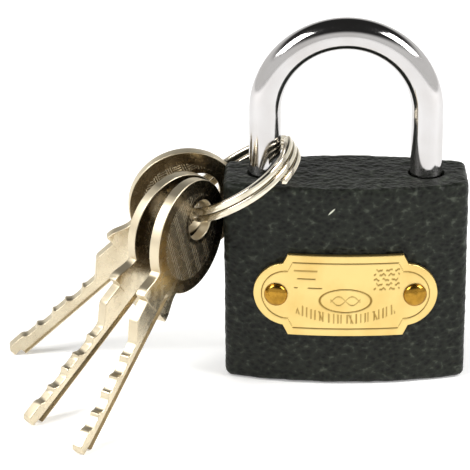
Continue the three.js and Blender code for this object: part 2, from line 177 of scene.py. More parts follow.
@dataclass(frozen=True)
class WrinklePaint:
    """Wrinkle-finish enamel baked on sand-cast iron.

    The enamel's skin shrinks into fine ridges as it bakes, which gives a matt charcoal. Painted shade darkens
    its valleys to near black, and a pale fleck on the highest ridge tops is a painted highlight, their satin
    glint. One chip shows pale primer.
    """

    ridge: str = "1f221c"
    valley_shade: str = "050504"
    glint_colour: str = "474b42"
    chip: str = "c4c6b4"
    cell_mm: float = 0.75
    fine_mm: float = 0.28
    bend_mm: float = 2.2
    bend_by_mm: float = 0.9
    blotch_mm: float = 5.5
    depth_mm: float = 0.2
    gloss: tuple[float, float] = (0.34, 0.52)
    chip_at: Triple = (-2.2, -7.9, -3.6)
    chip_size: Triple = (0.75, 0.8, 0.14)

    def material(self) -> bpy.types.Material:
        """Ridges are the distance to the middles of bent cells; colour, gloss and bump all follow them.

        Returns:
            The paint.
        """
        material, add = new_material("wrinkle paint")
        place = add(COORDS, output="Object")
        bend = add(NOISE, {"Vector": place, "Scale": 1 / (self.bend_mm * MM), "Detail": 2.0}, "Color")
        by = (self.bend_by_mm * MM,) * 3
        bent = add(VECTOR_MATH, {0: bend, 1: by, 2: place}, operation="MULTIPLY_ADD")
        streak = add(MAPPING, {"Vector": bent, "Scale": (0.8, 0.9, 1.0)})
        cell = {"Vector": streak, "Scale": 1 / (self.cell_mm * MM), "Smoothness": 0.45}
        cells = add(VORONOI, cell, "Distance", feature="SMOOTH_F1")
        grain = add(NOISE, {"Vector": streak, "Scale": 1 / (self.fine_mm * MM), "Detail": 3.0})
        height = add(MATH, {0: grain, 1: 0.55, 2: cells}, operation="MULTIPLY_ADD")
        # Painted shade darkens valleys below ridges, unevenly by patch; the highest ridges carry a painted
        # highlight.
        blotch = add(NOISE, {"Vector": place, "Scale": 1 / (self.blotch_mm * MM), "Detail": 2.0})
        uneven = add(MATH, {0: blotch, 1: 0.5, 2: -0.25}, operation="MULTIPLY_ADD", use_clamp=True)
        painted_ridge_light = add(RAMP, {"Value": height, "From Min": 0.35, "From Max": 0.95})
        share = add(MATH, {0: painted_ridge_light, 1: uneven}, operation="ADD", use_clamp=True)
        painted_glint = add(RAMP, {"Value": height, "From Min": 0.98, "From Max": 1.25, "To Max": 0.8})
        # The chip is an ellipsoid on the front, turned half a right angle.
        chip = {
            "Vector": place,
            "Location": tuple(c * MM for c in self.chip_at),
            "Rotation": (0.0, -math.pi / 4, 0.0),
            "Scale": tuple(c * MM for c in self.chip_size),
        }
        away = add(VECTOR_MATH, {0: add(MAPPING, chip, vector_type="TEXTURE")}, "Value", operation="LENGTH")
        bare = add(RAMP, {"Value": away, "From Min": 1.1, "From Max": 0.7})
        # The base colour is the valleys' painted shade; the ridges, the painted highlight and the chip are laid
        # over it.
        colour = linear(self.valley_shade)
        for factor, code in ((share, self.ridge), (painted_glint, self.glint_colour), (bare, self.chip)):
            ends = {"Factor": factor, "A": colour, "B": linear(code)}
            colour = add(MIX, ends, "Result", data_type="RGBA")
        low, high = self.gloss
        gloss = add(RAMP, {"Value": grain, "From Min": 0.3, "From Max": 0.7, "To Min": low, "To Max": high})
        bump = add(BUMP, {"Height": height, "Strength": 0.85, "Distance": self.depth_mm * MM})
        shaded(material, Metallic=0.0, IOR=1.5, Specular_IOR_Level=0.16)
        return shaded(material, Base_Color=colour, Roughness=gloss, Normal=bump)


@dataclass(frozen=True)
class Metal:
    """A bare or plated metal: one colour, a duller tint in patches, fine marks, and a roughness that varies."""

    name: str
    bright: str
    dull: str
    roughness: float
    spread: float
    patch_mm: float
    mark_mm: float
    mark_depth_mm: float
    dirt: float = 0.35
    stretch: Triple = (1.0, 1.0, 1.0)

    def material(self) -> bpy.types.Material:
        """Patches are slow noise; marks are fine noise drawn out along the way the metal was worked.

        Returns:
            The metal.
        """
        material, add = new_material(self.name)
        place = add(COORDS, output="Object")
        along = add(MAPPING, {"Vector": place, "Scale": self.stretch})
        patch = add(NOISE, {"Vector": place, "Scale": 1 / (self.patch_mm * MM), "Detail": 4.0})
        marks = add(NOISE, {"Vector": along, "Scale": 1 / (self.mark_mm * MM), "Detail": 3.0})
        share = add(RAMP, {"Value": patch, "From Min": 0.42, "From Max": 0.72, "To Max": self.dirt})
        ends = {"Factor": share, "A": linear(self.bright), "B": linear(self.dull)}
        colour = add(MIX, ends, "Result", data_type="RGBA")
        both = add(MATH, {0: patch, 1: marks}, operation="ADD")
        low, high = max(0.02, self.roughness - self.spread), self.roughness + self.spread
        gloss = add(RAMP, {"Value": both, "From Min": 0.7, "From Max": 1.3, "To Min": low, "To Max": high})
        bump = add(BUMP, {"Height": marks, "Strength": 0.5, "Distance": self.mark_depth_mm * MM})
        return shaded(material, Metallic=1.0, Base_Color=colour, Roughness=gloss, Normal=bump)


@dataclass(frozen=True)
class EngravedBrass:
    """Thin rolled brass sheet, satin-lacquered and struck with lines.

    The lacquer keeps it a pale even gold, and the struck lines are coloured thin and brown.
    """

    bright: str = "ddc27e"
    worn: str = "c6a35a"
    line: str = "7a5f28"
    patch_mm: float = 6.0
    grain_mm: float = 0.14
    grain_depth_mm: float = 0.004

    def material(self) -> bpy.types.Material:
        """Reads how deep each point is struck from the piece's own attribute.

        Returns:
            The brass.
        """
        material, add = new_material("struck brass sheet")
        place = add(COORDS, output="Object")
        struck = add(ATTRIBUTE, output="Fac", attribute_name="struck")
        patch = add(NOISE, {"Vector": place, "Scale": 1 / (self.patch_mm * MM), "Detail": 3.0})
        rolled = add(MAPPING, {"Vector": place, "Scale": (1.0, 1.0, 0.08)})
        grain = add(NOISE, {"Vector": rolled, "Scale": 1 / (self.grain_mm * MM), "Detail": 2.0})
        share = add(RAMP, {"Value": patch, "From Min": 0.4, "From Max": 0.7, "To Max": 0.55})
        colour = linear(self.bright)
        for factor, code in ((share, self.worn), (struck, self.line)):
            ends = {"Factor": factor, "A": colour, "B": linear(code)}
            colour = add(MIX, ends, "Result", data_type="RGBA")
        gloss = add(MATH, {0: grain, 1: 0.16, 2: 0.26}, operation="MULTIPLY_ADD")
        bump = add(BUMP, {"Height": grain, "Strength": 0.35, "Distance": self.grain_depth_mm * MM})
        return shaded(material, Metallic=1.0, Base_Color=colour, Roughness=gloss, Normal=bump)


@dataclass(frozen=True)
class KeyNickel:
    """Nickel-plated stamped brass, worn by handling.

    The plate gives a cream silver; the bow's flat faces are painted dark brown, a painted reflection of the
    dark room, while its edges and the milled blade stay bright, and a hatched panel on the bow is rubbed bright
    too.
    """

    bright: str = "d6cab0"
    dull: str = "a8977a"
    mark: str = "e9dfc6"
    bow_dark_reflection: str = "54452d"
    bow_end: float = 9.0
    blade_start: float = 14.0
    hatch_mm: float = 0.4
    hatch_slant: float = 0.35
    hatch_depth_mm: float = 0.04
    hatch_shade: float = 0.6
    band_mm: float = 2.6
    broken_mm: float = 0.55
    patch_mm: float = 5.0
    grain_mm: float = 1.2
    edge_roughness: float = 0.16
    panel_from: float = 3.9
    panel_to: float = 6.9

    def material(self, bow_centre: float) -> bpy.types.Material:
        """The key's own UV map is in millimetres along and across the key, from its hole.

        The panel lies outside a circle round the hole and inside one round the bow's centre. It is crossed by
        slanted lines, sin(2 pi x / pitch), which change their slant from one broken band to the next.

        Args:
            bow_centre: from the hole's centre to the bow's.

        Returns:
            The nickel.
        """
        material, add = new_material("worn nickel key")
        place = add(COORDS, output="UV")
        along = add(SEPARATE, {"Vector": place}, "X")
        across = add(SEPARATE, {"Vector": place}, "Y")
        centred = add(MAPPING, {"Vector": place, "Location": (-bow_centre, 0.0, 0.0)})
        from_hole = add(VECTOR_MATH, {0: place}, "Value", operation="LENGTH")
        from_bow = add(VECTOR_MATH, {0: centred}, "Value", operation="LENGTH")
        outside = add(MATH, {0: from_hole, 1: self.panel_from}, operation="GREATER_THAN")
        inside = add(MATH, {0: from_bow, 1: self.panel_to}, operation="LESS_THAN")
        panel = add(MATH, {0: outside, 1: inside}, operation="MULTIPLY")
        slant = add(MATH, {0: across, 1: -self.hatch_slant, 2: along}, operation="MULTIPLY_ADD")
        counter = add(MATH, {0: along, 1: self.hatch_slant, 2: across}, operation="MULTIPLY_ADD")
        waves = []
        for line, pitch in ((counter, self.hatch_mm), (slant, self.hatch_mm), (slant, self.band_mm)):
            turns = add(MATH, {0: line, 1: 2 * math.pi / pitch}, operation="MULTIPLY")
            waves.append(add(MATH, {0: turns}, operation="SINE"))
        broken = add(NOISE, {"Vector": place, "Scale": 1 / self.broken_mm, "Detail": 1.0})
        gate = add(MATH, {0: broken, 1: 1.8, 2: waves[2]}, operation="MULTIPLY_ADD")
        band = add(MATH, {0: gate, 1: 1.0}, operation="GREATER_THAN")
        either = add(MIX, {"Factor": band, "A": waves[0], "B": waves[1]}, "Result", data_type="FLOAT")
        shown = add(MATH, {0: either, 1: 1.2, 2: -0.2}, operation="MULTIPLY_ADD", use_clamp=True)
        struck = add(MATH, {0: shown, 1: panel}, operation="MULTIPLY")
        # Worn patches everywhere, a painted dark reflection on the bow's flat faces, and the panel over both.
        patch = add(NOISE, {"Vector": place, "Scale": 1 / self.patch_mm, "Detail": 2.0})
        share = add(RAMP, {"Value": patch, "From Min": 0.4, "From Max": 0.75, "To Max": 0.5})
        flat = add(ATTRIBUTE, output="Fac", attribute_name="flat")
        # Painted reflection: the bow's flat faces turn dark brown, fully on the bow and fading out before the
        # blade.
        span = {"From Min": self.bow_end, "From Max": self.blade_start, "To Min": 0.85, "To Max": 0.0}
        bow_reach = add(RAMP, {"Value": along, **span}, interpolation_type="SMOOTHSTEP")
        dark_reflection_share = add(MATH, {0: bow_reach, 1: flat}, operation="MULTIPLY")
        shade = add(MATH, {0: struck, 1: self.hatch_shade}, operation="MULTIPLY")
        colour = linear(self.bright)
        for factor, code in ((share, self.dull), (dark_reflection_share, self.bow_dark_reflection), (shade, self.mark)):
            ends = {"Factor": factor, "A": colour, "B": linear(code)}
            colour = add(MIX, ends, "Result", data_type="RGBA")
        # The sawn and milled edges scatter more than the rolled faces do.
        grain = add(NOISE, {"Vector": place, "Scale": 1 / self.grain_mm, "Detail": 2.0})
        gloss = add(RAMP, {"Value": grain, "From Min": 0.3, "From Max": 0.7, "To Min": 0.2, "To Max": 0.32})
        edge = {0: flat, 1: -self.edge_roughness, 2: self.edge_roughness}
        sawn = add(MATH, edge, operation="MULTIPLY_ADD")
        surface = add(MATH, {0: gloss, 1: sawn}, operation="ADD")
        bump = add(BUMP, {"Height": struck, "Strength": 0.8, "Distance": self.hatch_depth_mm * MM})
        return shaded(material, Metallic=1.0, Base_Color=colour, Roughness=surface, Normal=bump)


# Bright chrome over polished steel: the eye sees the room in it, sharp and almost colourless.
CHROME = Metal("bright chrome plate", "c4c2c2", "aaa4a0", 0.1, 0.035, 7.0, 0.5, 0.002, 0.4)
# Yellow brass, handled and unlacquered: warm highlights with brown in the hollows.
WORN_BRASS = Metal("worn yellow brass", "ab8030", "4a3310", 0.2, 0.08, 1.6, 0.2, 0.006, 0.6)
# Spring wire, nickel-plated in a barrel: a warmer, softer shine than chrome, dark where the coils meet.
RING_NICKEL = Metal("nickelled spring wire", "e2dac8", "8c7d5c", 0.17, 0.06, 3.0, 0.25, 0.004, 0.45)
# Brass turned in a lathe: fine rings round it spread each highlight along its length.
TURNED_BRASS = Metal("turned brass", "e0bf72", "a8843c", 0.28, 0.07, 3.0, 0.15, 0.008, 0.35, (1.0, 1.0, 0.2))
# Free-cutting steel as turned, under a film of oil: a soft grey.
STEEL = Metal("turned steel", "bdbfc2", "85878a", 0.32, 0.08, 3.0, 0.15, 0.006)
# Wire drawn through a die, uncoated: a darker grey with a dull shine.
SPRING_WIRE = Metal("drawn spring wire", "9a9c9f", "5e6063", 0.3, 0.08, 1.5, 0.1, 0.004)


# ---------------------------------------------------------------- surfaces


def rings(rows: np.ndarray) -> np.ndarray:
    """Closes a stack of rings with a point at the middle of the first and of the last.

    Args:
        rows: points as (rings, points round a ring, 3).

    Returns:
        The stack, with each end drawn in to one point.
    """
    first = np.broadcast_to(rows[0].mean(axis=0), rows[0].shape)
    last = np.broadcast_to(rows[-1].mean(axis=0), rows[-1].shape)
    return np.concatenate([first[None], rows, last[None]])


def quads_of(rows: int, columns: int, start: int = 0) -> np.ndarray:
    """Joins a grid of points, closed along its columns, into four-sided faces.

    Args:
        rows: how many rings.
        columns: how many points round each.
        start: the first point's index.

    Returns:
        Indices as (faces, 4).
    """
    row, column = np.meshgrid(np.arange(rows - 1), np.arange(columns), indexing="ij")
    after = (column + 1) % columns
    below, above = row * columns, (row + 1) * columns
    corners = [below + column, below + after, above + after, above + column]
    return np.stack(corners, axis=-1).reshape(-1, 4) + start


def linked(name: str, data: bpy.types.ID) -> bpy.types.Object:
    """Makes an object and puts it in the scene, at the origin.

    Args:
        name: its name.
        data: its mesh, lamp or camera.

    Returns:
        The object.
    """
    made = bpy.data.objects.new(name, data)
    bpy.context.scene.collection.objects.link(made)
    return made


def mesh_object(
    name: str, grid: np.ndarray, values: dict[str, np.ndarray] | None = None, crease: float = 32.0
) -> bpy.types.Object:
    """Makes an object of a closed grid, with its doubles merged and its faces pointing outwards.

    Args:
        name: the object's name.
        grid: points in millimetres, as (rings, points round a ring, 3).
        values: named numbers per point.
        crease: edges sharper than this many degrees stay sharp.

    Returns:
        The object, at the origin.
    """
    mesh = bpy.data.meshes.new(name)
    mesh.from_pydata((grid.reshape(-1, 3) * MM).tolist(), [], quads_of(*grid.shape[:2]).tolist())
    for key, numbers in (values or {}).items():
        attribute = mesh.attributes.new(key, "FLOAT", "POINT")
        attribute.data.foreach_set("value", numbers.ravel().astype(np.float32))
    shell = bmesh.new()
    shell.from_mesh(mesh)
    bmesh.ops.remove_doubles(shell, verts=shell.verts, dist=0.0005 * MM)
    bmesh.ops.recalc_face_normals(shell, faces=shell.faces)
    shell.to_mesh(mesh)
    shell.free()
    smooth(mesh, crease)
    return linked(name, mesh)


def read(
    items: bpy.types.bpy_prop_collection, name: str, width: int, kind: type = np.float32
) -> np.ndarray:
    """Reads one attribute of every item at once.

    Args:
        items: what to read from.
        name: the attribute.
        width: how many numbers each item has.
        kind: the numbers' type.

    Returns:
        The numbers as (items, width).
    """
    values = np.empty(len(items) * width, dtype=kind)
    items.foreach_get(name, values)
    return values.reshape(-1, width)


def smooth(mesh: bpy.types.Mesh, crease: float) -> None:
    """Shades a mesh smooth, but for edges sharper than crease degrees."""
    mesh.shade_smooth()
    mesh.set_sharp_from_angle(angle=math.radians(crease))


def lathe(profile: list[tuple[float, float]], sides: int, matrix: Matrix) -> np.ndarray:
    """Turns a profile of (radius, height) about Z: a point is (r cos a, r sin a, z), then placed.

    Args:
        profile: radius and height of each ring, from one closed end to the other.
        sides: points round a ring.
        matrix: where the piece goes.

    Returns:
        Points as (rings + 2, sides, 3).
    """
    radius, height = np.array(profile).T
    angle = np.linspace(0, 2 * math.pi, sides, endpoint=False)
    x = radius[:, None] * np.cos(angle)
    y = radius[:, None] * np.sin(angle)
    z = np.broadcast_to(height[:, None], x.shape)
    return placed(rings(np.stack([x, y, z], axis=-1)), matrix)


def placed(points: np.ndarray, matrix: Matrix) -> np.ndarray:
    """Moves points by a 4x4 matrix given in millimetres."""
    m = np.array(matrix)
    return points @ m[:3, :3].T + m[:3, 3]


def block(x0: float, x1: float, y0: float, y1: float, z0: float, z1: float) -> np.ndarray:
    """A box as two rings of four corners, closed at both ends."""
    ring = np.array([[x0, y0], [x1, y0], [x1, y1], [x0, y1]])
    return rings(np.stack([np.column_stack([ring, np.full(4, z)]) for z in (z0, z1)]))


def carve(piece: bpy.types.Object, cutters: list[np.ndarray], crease: float = 32.0) -> None:
    """Cuts closed grids out of a piece.

    Args:
        piece: the object to cut.
        cutters: closed grids in millimetres.
        crease: edges sharper than this many degrees stay sharp.
    """
    tools = [mesh_object("cutter", cutter) for cutter in cutters]
    for tool in tools:
        modifier = piece.modifiers.new("carve", "BOOLEAN")
        modifier.object = tool
        modifier.operation = "DIFFERENCE"
        modifier.solver = "MANIFOLD"
    evaluated = piece.evaluated_get(bpy.context.evaluated_depsgraph_get())
    piece_mesh = bpy.data.meshes.new_from_object(evaluated)
    piece.modifiers.clear()
    piece.data = piece_mesh
    smooth(piece_mesh, crease)
    for tool in tools:
        bpy.data.objects.remove(tool)


def value_noise(points: np.ndarray, cell: float, seed: int) -> np.ndarray:
    """Smooth noise from -1 to 1: random numbers on a lattice, blended by 3f^2 - 2f^3 along each axis.

    Args:
        points: places in millimetres, as (..., 3).
        cell: the lattice's step.
        seed: picks the numbers.

    Returns:
        One number per point.
    """
    size = 32
    lattice = np.random.default_rng(seed).random((size, size, size))
    scaled = points / cell
    low = np.floor(scaled).astype(int)
    part = scaled - low
    blend = part * part * (3 - 2 * part)
    total = np.zeros(points.shape[:-1])
    for corner in np.ndindex(2, 2, 2):
        weight = np.prod(np.where(np.array(corner, dtype=bool), blend, 1 - blend), axis=-1)
        index = (low + np.array(corner)) % size
        total += weight * lattice[index[..., 0], index[..., 1], index[..., 2]]
    return 2 * total - 1


def finish_piece(
    piece: bpy.types.Object, material: bpy.types.Material, body: str, nodes: tuple[str, ...]
) -> None:
    """Dresses a piece, hangs it on its body and hides the CAD nodes that it stands for.

    Args:
        piece: the object.
        material: its finish.
        body: the moving body that it rides on.
        nodes: the CAD nodes that it replaces.
    """
    piece.data.materials.clear()
    piece.data.materials.append(material)
    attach(piece, body)
    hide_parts(*nodes)
    LOG.info("%s: %d faces, on %s", piece.name, len(piece.data.polygons), body)


# ---------------------------------------------------------------- the lock


@dataclass
class LockBody:
    """The cast body: bulged front and back, rounded edges, and the bores for everything that it holds.

    A room is a box cut out of it, as its low and high X, Y and Z.
    """

    width: float
    middle_depth: float
    height: float
    plate_z: float
    side_depth: float = 10.2
    corner: float = 1.6
    edge: float = 0.95
    leg_inset: float = 6.5
    leg_hole: float = 2.8
    leg_flare: float = 0.35
    heel_floor: float = 3.5
    toe_floor: float = 7.3
    plug_radius: float = 4.3
    plug_flare: float = 0.3
    plug_y: float = 2.4
    plug_top: float = 5.5
    latch_room: tuple[float, ...] = (-8.0, 12.5, -2.4, 2.4, -5.5, -2.7)
    arm_room: tuple[float, ...] = (-3.7, 4.2, 0.0, 5.0, -5.5, -2.7)
    heel_pin: float = 1.05
    heel_pin_z: float = -11.5
    retainer: float = 0.75
    retainer_at: Triple = (4.05, 0.0, -11.3)
    retainer_end: float = 3.05
    chamber: float = 1.25
    first_pin: float = 10.4
    pin_pitch: float = 3.2
    pins: int = 4
    rivet_hole: float = 1.15
    rivet_x: float = 10.65
    rivet_depth: float = 3.15
    edge_rows: int = 6
    side_rows: int = 92
    end_rows: int = 22
    narrowing: float = 0.45
    swell: float = 0.1
    swell_middle: float = 1.1
    past: float = 2.0
    paint: WrinklePaint = field(default_factory=WrinklePaint)

    @property
    def bulge(self) -> float:
        """Radius of the front and the back, from the chord and the height of the arc over it."""
        sagitta = (self.middle_depth - self.side_depth) / 2
        return ((self.width / 2) ** 2 + sagitta**2) / (2 * sagitta)

    @property
    def bulge_y(self) -> float:
        """How far behind the origin the front's arc has its centre."""
        return self.bulge - self.middle_depth / 2

    @property
    def leg_x(self) -> float:
        """The toe leg's X; the heel leg's is minus this."""
        return self.width / 2 - self.leg_inset

    def front_place(self, x: float) -> Matrix:
        """Where a rivet stands square on the front: its own +Z points straight out of the surface.

        Args:
            x: the rivet's X.

        Returns:
            Its place, in millimetres.
        """
        turn = Matrix.Rotation(math.asin(x / self.bulge), 4, "Z")
        out = Matrix.Translation((0, -self.bulge, 0)) @ Matrix.Rotation(math.pi / 2, 4, "X")
        return Matrix.Translation((0, self.bulge_y, self.plate_z)) @ turn @ out

    def outline(self) -> tuple[np.ndarray, np.ndarray, np.ndarray]:
        """The plan as arcs: a point is a centre plus a radius along an angle, so an offset changes the radius.

        Returns:
            Centres as (n, 2), radii as (n,) and angles as (n,).
        """
        half = self.width / 2
        x = half - self.corner
        y = math.sqrt((self.bulge - self.corner) ** 2 - x**2) - self.bulge_y
        turn = math.atan2(y + self.bulge_y, x)
        around, across, along = 8, 126, 24  # points round a corner, across the front, and down a side
        pieces = [
            (x, y, x, y, self.corner, 0, turn, around),
            (0, -self.bulge_y, 0, -self.bulge_y, self.bulge, turn, math.pi - turn, across),
            (-x, y, -x, y, self.corner, math.pi - turn, math.pi, around),
            (-x, y, -x, -y, self.corner, math.pi, math.pi, along),
            (-x, -y, -x, -y, self.corner, math.pi, math.pi + turn, around),
            (0, self.bulge_y, 0, self.bulge_y, self.bulge, math.pi + turn, 2 * math.pi - turn, across),
            (x, -y, x, -y, self.corner, 2 * math.pi - turn, 2 * math.pi, around),
            (x, -y, x, y, self.corner, 0, 0, along),
        ]
        centres, radii, angles = [], [], []
        for x0, y0, x1, y1, radius, a0, a1, count in pieces:
            share = np.linspace(0, 1, count, endpoint=False)
            centres.append(np.column_stack([x0 + (x1 - x0) * share, y0 + (y1 - y0) * share]))
            radii.append(np.full(count, radius))
            angles.append(a0 + (a1 - a0) * share)
        return np.concatenate(centres), np.concatenate(radii), np.concatenate(angles)

    def skin(self) -> np.ndarray:
        """The whole outside as rings: down the middle of each flat end, round each edge, and up the sides.

        A ring is the outline drawn in by an inset at a height, and the flat ends narrow to a line along X.

        Returns:
            Points as (rings, points round a ring, 3), drawn in a little by noise along their normals.
        """
        centres, radii, angles = self.outline()
        unit = np.column_stack([np.cos(angles), np.sin(angles)])
        turn = np.linspace(0, math.pi / 2, self.edge_rows)
        inner = np.linspace(self.edge - self.height, -self.edge, self.side_rows)[1:-1]
        foot_in, top_in = self.edge * (1 - np.sin(turn)), self.edge * (1 - np.cos(turn))
        inset = np.concatenate([foot_in, 0 * inner, top_in])
        level = np.concatenate([top_in - self.height, inner, -foot_in])
        lean = np.concatenate([turn - math.pi / 2, 0 * inner, turn])
        flat = centres + (radii - inset[:, None])[..., None] * unit
        body = np.dstack([flat, np.broadcast_to(level[:, None], flat.shape[:2])])
        upward = np.broadcast_to(np.sin(lean)[:, None], flat.shape[:2])
        normal = np.dstack([np.cos(lean)[:, None, None] * unit, upward])
        narrow = np.linspace(0, 1, self.end_rows)[1:, None, None]
        scale = np.concatenate([1 - self.narrowing * narrow, 1 - narrow, 1 + 0 * narrow], axis=-1)
        top = body[-1] * scale
        foot = body[0] * scale
        down = np.broadcast_to([0.0, 0.0, -1.0], foot.shape)
        points = np.concatenate([foot[::-1], body, top])
        normals = np.concatenate([down, normal, -down])
        return points + normals * (self.swell * (self.casting_noise(points) - self.swell_middle))[..., None]

    def casting_noise(self, points: np.ndarray) -> np.ndarray:
        """Lumps of 0.85 and 0.4 mm drawn out along X and Y, over slow waves of 3 mm.

        Args:
            points: places in millimetres, as (..., 3).

        Returns:
            One number per point.
        """
        drawn = points * np.array([0.5, 0.8, 1.0])
        lumps = 0.6 * value_noise(drawn, 0.85, 3) + 0.4 * value_noise(drawn, 0.4, 4)
        return lumps + 0.5 * value_noise(points, 3.0, 5)

    def bore(self, radius: float, place: Matrix, low: float, high: float, flare: float = 0.0) -> np.ndarray:
        """A round cutter along its own Z; a flare rounds the rim where it leaves the body at height zero.

        Args:
            radius: the bore's.
            place: where its axis stands.
            low: its floor, along the axis.
            high: its open end, along the axis.
            flare: the rim's radius.

        Returns:
            Points as (rings, points round a ring, 3).
        """
        profile = [(radius, low), (radius, high)]
        if flare:
            turn = np.linspace(0, math.pi / 2, 5)
            rim = [(radius + flare * (1 - math.cos(a)), -flare * (1 - math.sin(a))) for a in turn]
            reach = radius + 1.6 * flare
            profile = [(radius, low), *rim, (reach, 0.05), (reach, high)]
        return lathe(profile, 48, place)

    def build(self) -> None:
        """Makes the painted body with its bores."""
        along_x = Matrix.Rotation(math.pi / 2, 4, "Y")
        along_y = Matrix.Rotation(-math.pi / 2, 4, "X")
        heel = Matrix.Translation((-self.leg_x, 0, 0))
        toe = Matrix.Translation((self.leg_x, 0, 0))
        plug = Matrix.Translation((0, self.plug_y, -self.height)) @ Matrix.Rotation(math.pi, 4, "X")
        across = Matrix.Translation((0, 0, self.heel_pin_z)) @ along_x
        behind = Matrix.Translation(self.retainer_at) @ along_y
        cutters = [
            self.bore(self.leg_hole, heel, self.heel_floor - self.height, self.past, self.leg_flare),
            self.bore(self.leg_hole, toe, -self.toe_floor, self.past, self.leg_flare),
            self.bore(self.plug_radius, plug, self.plug_top - self.height, self.past, self.plug_flare),
            block(*self.latch_room),
            block(*self.arm_room),
            self.bore(self.heel_pin, across, -self.leg_x, 0.0),
            self.bore(self.retainer, behind, -self.middle_depth, self.retainer_end),
        ]
        for i in range(self.pins):
            height = self.first_pin - self.height + self.pin_pitch * i
            pin = Matrix.Translation((0, 0, height)) @ along_y
            cutters.append(self.bore(self.chamber, pin, -self.middle_depth, self.plug_y))
        for side in Side:
            rivet = self.front_place(side.value * self.rivet_x)
            cutters.append(self.bore(self.rivet_hole, rivet, -self.rivet_depth, self.past / 2))
        piece = mesh_object("cast_body", self.skin())
        carve(piece, cutters)
        finish_piece(piece, self.paint.material(), "lock_body", ("body",))


@dataclass
class Shackle:
    """The U-shaped bar: a long heel leg, a short toe leg with the latch's notch, and a half-round arch.

    The groove and the notch are boxes cut out of it, as their low and high X, Y and Z.
    """

    leg_x: float
    bar: float
    heel_end: float
    arch_above: float = 10.0
    toe_end: float = -7.0
    chamfer: float = 0.45
    groove: tuple[float, ...] = (-11.2, -5.0, -1.2, 1.2, -20.7, -10.3)
    notch: tuple[float, ...] = (7.5, 11.8, -5.0, 5.0, -5.5, -2.7)

    def path(self) -> tuple[np.ndarray, np.ndarray, np.ndarray]:
        """The bar's middle line, up the heel leg, round the arch and down the toe leg, by distance along it.

        Returns:
            Points, directions that point out of the U, and distances, one row each.
        """
        heel = self.arch_above - self.heel_end
        arch = math.pi * self.leg_x
        toe = self.arch_above - self.toe_end
        ease = self.chamfer * np.array([0.0, 0.3, 1.0])
        stops = [
            ease,
            np.linspace(ease[-1], heel, 14)[1:],
            np.linspace(heel, heel + arch, 97)[1:],
            np.linspace(heel + arch, heel + arch + toe - ease[-1], 12)[1:],
            heel + arch + toe - ease[1::-1],
        ]
        s = np.concatenate(stops)
        angle = math.pi - np.clip((s - heel) / self.leg_x, 0, math.pi)
        out = np.column_stack([np.cos(angle), 0 * s, np.sin(angle)])
        straight = np.minimum(s - heel, 0) + np.minimum(heel + arch - s, 0)
        points = self.leg_x * out + np.column_stack([0 * s, 0 * s, self.arch_above + straight])
        return points, out, s

    def build(self) -> None:
        """Sweeps a circle along the line: a point is the line's, plus r cos a outwards and r sin a along Y."""
        middle, out, s = self.path()
        nearest = np.minimum(s, s[-1] - s)
        radius = self.bar - self.chamfer * np.clip(1 - nearest / self.chamfer, 0, 1) ** 1.5
        angle = np.linspace(0, 2 * math.pi, 48, endpoint=False)
        across = np.array([0.0, 1.0, 0.0])
        spoke = out[:, None, :] * np.cos(angle)[None, :, None] + across * np.sin(angle)[None, :, None]
        rows = middle[:, None, :] + radius[:, None, None] * spoke
        piece = mesh_object("chromed_shackle", rings(rows), crease=50.0)
        carve(piece, [block(*self.groove), block(*self.notch)], 40.0)
        finish_piece(piece, CHROME.material(), "shackle_body", ("shackle",))


